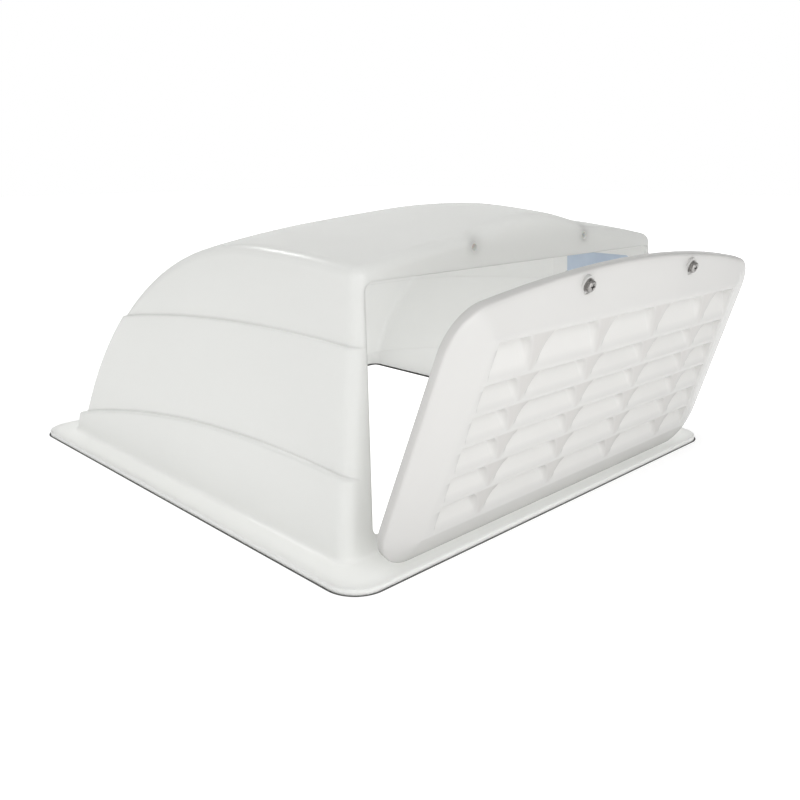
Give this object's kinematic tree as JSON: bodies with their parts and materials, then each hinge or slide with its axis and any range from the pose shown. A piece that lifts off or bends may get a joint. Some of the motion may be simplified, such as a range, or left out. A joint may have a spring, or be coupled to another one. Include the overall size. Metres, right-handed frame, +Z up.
{
  "type": "roof vent cover",
  "caption": "Hooded cover for a caravan or motorhome roof vent, with a flat flange and a hinged louvred end panel held by captive screws",
  "frame": {"origin": "centre of the rectangle of four roof screw holes, on the plane the flange's lip stands on", "axes": "X is fore and aft, with the louvred lee end at +X; Y is across; Z is up, away from the roof"},
  "size_m": [0.5391, 0.47, 0.234],
  "materials": {
    "hood_plastic": "translucent off-white thermoformed polyethylene, satin gloss",
    "panel_plastic": "translucent off-white moulded polyethylene, satin",
    "stainless": "brushed stainless steel",
    "rivet": "plain aluminium",
    "spring_steel": "spring steel",
    "nylon": "natural nylon",
    "zinc": "bright zinc plate",
    "label": "pale blue printed vinyl, blank"
  },
  "bodies": {
    "hood": {"hood_shell": "hood_plastic", "inner_label": "label", "hinge_bracket_left": "stainless", "hinge_bracket_rivets_left": "rivet", "hinge_pin_left": "stainless", "hinge_clip_left": "spring_steel", "insert_nut_left": "nylon", "hinge_bracket_right": "stainless", "hinge_bracket_rivets_right": "rivet", "hinge_pin_right": "stainless", "hinge_clip_right": "spring_steel", "insert_nut_right": "nylon"},
    "hinge_sliders": {"hinge_slider_left": "nylon", "hinge_slider_right": "nylon"},
    "panel": {"louvre_panel": "panel_plastic"},
    "fixing_left": {"screw_washer_left": "zinc", "screw_retainer_left": "nylon"},
    "screw_left": {"panel_screw_left": "zinc"},
    "fixing_right": {"screw_washer_right": "zinc", "screw_retainer_right": "nylon"},
    "screw_right": {"panel_screw_right": "zinc"}
  },
  "joints": [
    {"name": "panel_tilt", "type": "hinge", "parent": "hood", "child": "hinge_sliders", "pos_m": [0.2135, 0, 0.02486], "axis": [0, 1, 0], "range_deg": [-20.57, 0]},
    {"name": "panel_slide", "type": "slide", "parent": "hinge_sliders", "child": "panel", "axis": [0.9541, 0, -0.2994], "range_m": [-0.0216, 0]},
    {"name": "screw_back_out_left", "type": "slide", "parent": "panel", "child": "fixing_left", "axis": [0.9541, 0, -0.2994], "range_m": [0, 0.0055]},
    {"name": "screw_turn_left", "type": "hinge", "parent": "fixing_left", "child": "screw_left", "pos_m": [0.29891, -0.071, 0.18986], "axis": [0.9541, 0, -0.2994], "continuous": true},
    {"name": "screw_back_out_right", "type": "slide", "parent": "panel", "child": "fixing_right", "axis": [0.9541, 0, -0.2994], "range_m": [0, 0.0055]},
    {"name": "screw_turn_right", "type": "hinge", "parent": "fixing_right", "child": "screw_right", "pos_m": [0.29891, 0.071, 0.18986], "axis": [0.9541, 0, -0.2994], "continuous": true}
  ],
  "couplings": [
    {"joint": "panel_slide", "follows": "panel_tilt", "m_per_rad": 0.060167}
  ]
}
